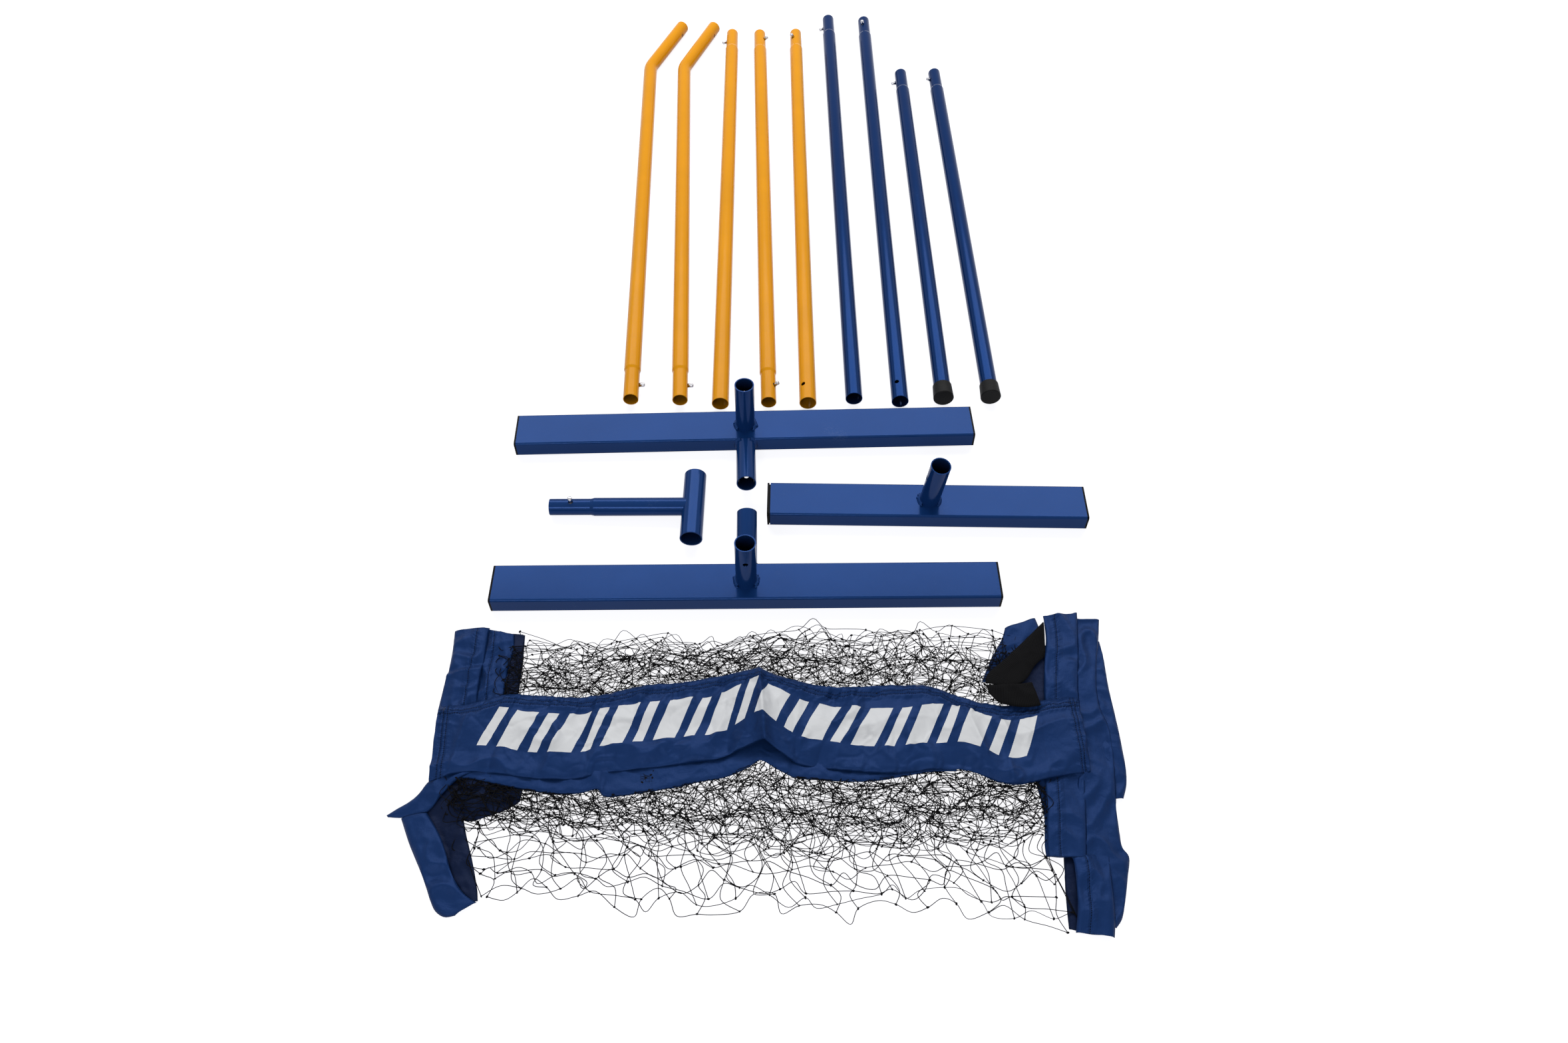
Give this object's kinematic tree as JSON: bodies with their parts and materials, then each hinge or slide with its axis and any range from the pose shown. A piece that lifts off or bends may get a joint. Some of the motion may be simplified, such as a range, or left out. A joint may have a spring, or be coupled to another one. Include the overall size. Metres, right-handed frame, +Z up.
{
  "type": "portable sports net kit",
  "caption": "Portable court net set laid out in pieces: tube poles with snap buttons, welded foot bars with sockets, a tee connector and a folded net with a banded top.",
  "frame": {"origin": "on the floor, at the middle of the whole layout", "axes": "+X to the right along the foot bars, +Y to the back along the poles, +Z up"},
  "size_m": [0.8735, 1.905, 0.1076],
  "materials": {
    "yellow_coat": "smooth powder coat, golden yellow",
    "blue_coat": "glossy powder coat, dark blue",
    "chromed_pin": "polished chrome plate",
    "spring_steel": "bright spring steel",
    "black_rubber": "matt black rubber",
    "black_plastic": "fine-grained black plastic",
    "navy_cloth": "satin woven nylon, navy, with plain white bars on the band",
    "black_twine": "knotted black twine",
    "black_webbing": "ribbed black webbing"
  },
  "bodies": {
    "net": {"netting_upper": "black_twine", "netting_lower": "black_twine", "band_front_ply": "navy_cloth", "band_back_ply": "navy_cloth", "sleeve_left_upper": "navy_cloth", "sleeve_left_fold": "navy_cloth", "sleeve_left_lower": "navy_cloth", "sleeve_right_upper": "navy_cloth", "sleeve_right_lower": "navy_cloth", "sleeve_right_hem": "navy_cloth", "webbing_strap": "black_webbing"},
    "rail_pole_left_bent": {"rail_pole_left_bent": "yellow_coat", "spring_rail_left_bent": "spring_steel"},
    "button_rail_left_bent": {"button_rail_left_bent": "chromed_pin"},
    "rail_pole_right_bent": {"rail_pole_right_bent": "yellow_coat", "spring_rail_right_bent": "spring_steel"},
    "button_rail_right_bent": {"button_rail_right_bent": "chromed_pin"},
    "rail_pole_left": {"rail_pole_left": "yellow_coat", "spring_rail_left": "spring_steel"},
    "button_rail_left": {"button_rail_left": "chromed_pin"},
    "rail_pole_right": {"rail_pole_right": "yellow_coat", "spring_rail_right": "spring_steel"},
    "button_rail_right": {"button_rail_right": "chromed_pin"},
    "rail_pole_middle": {"rail_pole_middle": "yellow_coat", "spring_rail_middle_near": "spring_steel", "spring_rail_middle_far": "spring_steel"},
    "button_rail_middle_near": {"button_rail_middle_near": "chromed_pin"},
    "button_rail_middle_far": {"button_rail_middle_far": "chromed_pin"},
    "post_pole_lower_left": {"post_pole_lower_left": "blue_coat", "spring_post_lower_left": "spring_steel"},
    "button_post_lower_left": {"button_post_lower_left": "chromed_pin"},
    "post_pole_lower_right": {"post_pole_lower_right": "blue_coat", "spring_post_lower_right": "spring_steel"},
    "button_post_lower_right": {"button_post_lower_right": "chromed_pin"},
    "post_pole_upper_left": {"post_pole_upper_left": "blue_coat", "post_cap_left": "black_rubber", "spring_post_upper_left": "spring_steel"},
    "button_post_upper_left": {"button_post_upper_left": "chromed_pin"},
    "post_pole_upper_right": {"post_pole_upper_right": "blue_coat", "post_cap_right": "black_rubber", "spring_post_upper_right": "spring_steel"},
    "button_post_upper_right": {"button_post_upper_right": "chromed_pin"},
    "rear_foot": {"rear_foot_bar": "blue_coat", "rear_foot_upright": "blue_coat", "rear_foot_stub": "blue_coat", "rear_foot_end_plugs": "black_plastic"},
    "front_foot": {"front_foot_bar": "blue_coat", "front_foot_upright": "blue_coat", "front_foot_stub": "blue_coat", "front_foot_end_plugs": "black_plastic"},
    "middle_foot": {"middle_foot_bar": "blue_coat", "middle_foot_upright": "blue_coat", "middle_foot_end_plugs": "black_plastic"},
    "tee": {"tee_collar": "blue_coat", "tee_branch": "blue_coat", "spring_tee": "spring_steel"},
    "button_tee": {"button_tee": "chromed_pin"}
  },
  "joints": [
    {"name": "lift_rail_pole_left_bent", "type": "slide", "parent": "net", "child": "rail_pole_left_bent", "axis": [0, 0, 1], "range_m": [0, 0.25]},
    {"name": "press_rail_left_bent", "type": "slide", "parent": "rail_pole_left_bent", "child": "button_rail_left_bent", "axis": [-0.9989, -0.0475, 0], "range_m": [0, 0.009], "stiffness_N_per_m": 1500, "springref_m": -0.002, "deforming": ["spring_rail_left_bent"]},
    {"name": "lift_rail_pole_right_bent", "type": "slide", "parent": "net", "child": "rail_pole_right_bent", "axis": [0, 0, 1], "range_m": [0, 0.25]},
    {"name": "press_rail_right_bent", "type": "slide", "parent": "rail_pole_right_bent", "child": "button_rail_right_bent", "axis": [-0.9985, -0.0548, 0], "range_m": [0, 0.009], "stiffness_N_per_m": 1500, "springref_m": -0.002, "deforming": ["spring_rail_right_bent"]},
    {"name": "lift_rail_pole_left", "type": "slide", "parent": "net", "child": "rail_pole_left", "axis": [0, 0, 1], "range_m": [0, 0.25]},
    {"name": "press_rail_left", "type": "slide", "parent": "rail_pole_left", "child": "button_rail_left", "axis": [0.9934, 0.0182, 0.1132], "range_m": [0, 0.009], "stiffness_N_per_m": 1500, "springref_m": -0.002, "deforming": ["spring_rail_left"]},
    {"name": "lift_rail_pole_right", "type": "slide", "parent": "net", "child": "rail_pole_right", "axis": [0, 0, 1], "range_m": [0, 0.25]},
    {"name": "press_rail_right", "type": "slide", "parent": "rail_pole_right", "child": "button_rail_right", "axis": [0.5445, 0.0101, -0.8387], "range_m": [0, 0.009], "stiffness_N_per_m": 1500, "springref_m": -0.002, "deforming": ["spring_rail_right"]},
    {"name": "lift_rail_pole_middle", "type": "slide", "parent": "net", "child": "rail_pole_middle", "axis": [0, 0, 1], "range_m": [0, 0.25]},
    {"name": "press_rail_middle_near", "type": "slide", "parent": "rail_pole_middle", "child": "button_rail_middle_near", "axis": [-0.8086, -0.0268, -0.5878], "range_m": [0, 0.009], "stiffness_N_per_m": 1500, "springref_m": -0.002, "deforming": ["spring_rail_middle_near"]},
    {"name": "press_rail_middle_far", "type": "slide", "parent": "rail_pole_middle", "child": "button_rail_middle_far", "axis": [-0.8086, -0.0268, -0.5878], "range_m": [0, 0.009], "stiffness_N_per_m": 1500, "springref_m": -0.002, "deforming": ["spring_rail_middle_far"]},
    {"name": "lift_post_pole_lower_left", "type": "slide", "parent": "net", "child": "post_pole_lower_left", "axis": [0, 0, 1], "range_m": [0, 0.25]},
    {"name": "press_post_lower_left", "type": "slide", "parent": "post_pole_lower_left", "child": "button_post_lower_left", "axis": [0.9561, 0.0179, 0.2924], "range_m": [0, 0.009], "stiffness_N_per_m": 1500, "springref_m": -0.002, "deforming": ["spring_post_lower_left"]},
    {"name": "lift_post_pole_lower_right", "type": "slide", "parent": "net", "child": "post_pole_lower_right", "axis": [0, 0, 1], "range_m": [0, 0.25]},
    {"name": "press_post_lower_right", "type": "slide", "parent": "post_pole_lower_right", "child": "button_post_lower_right", "axis": [0.3255, 0.0045, -0.9455], "range_m": [0, 0.009], "stiffness_N_per_m": 1500, "springref_m": -0.002, "deforming": ["spring_post_lower_right"]},
    {"name": "lift_post_pole_upper_left", "type": "slide", "parent": "net", "child": "post_pole_upper_left", "axis": [0, 0, 1], "range_m": [0, 0.25]},
    {"name": "press_post_upper_left", "type": "slide", "parent": "post_pole_upper_left", "child": "button_post_upper_left", "axis": [0.9876, 0.0162, 0.1564], "range_m": [0, 0.009], "stiffness_N_per_m": 1500, "springref_m": -0.002, "deforming": ["spring_post_upper_left"]},
    {"name": "lift_post_pole_upper_right", "type": "slide", "parent": "net", "child": "post_pole_upper_right", "axis": [0, 0, 1], "range_m": [0, 0.25]},
    {"name": "press_post_upper_right", "type": "slide", "parent": "post_pole_upper_right", "child": "button_post_upper_right", "axis": [0.927, 0.0178, -0.3746], "range_m": [0, 0.009], "stiffness_N_per_m": 1500, "springref_m": -0.002, "deforming": ["spring_post_upper_right"]},
    {"name": "lift_rear_foot", "type": "slide", "parent": "net", "child": "rear_foot", "axis": [0, 0, 1], "range_m": [0, 0.25]},
    {"name": "lift_front_foot", "type": "slide", "parent": "net", "child": "front_foot", "axis": [0, 0, 1], "range_m": [0, 0.25]},
    {"name": "lift_middle_foot", "type": "slide", "parent": "net", "child": "middle_foot", "axis": [0, 0, 1], "range_m": [0, 0.25]},
    {"name": "lift_tee", "type": "slide", "parent": "net", "child": "tee", "axis": [0, 0, 1], "range_m": [0, 0.25]},
    {"name": "press_tee", "type": "slide", "parent": "tee", "child": "button_tee", "axis": [0.0204, 0, -0.9998], "range_m": [0, 0.009], "stiffness_N_per_m": 1500, "springref_m": -0.002, "deforming": ["spring_tee"]}
  ]
}
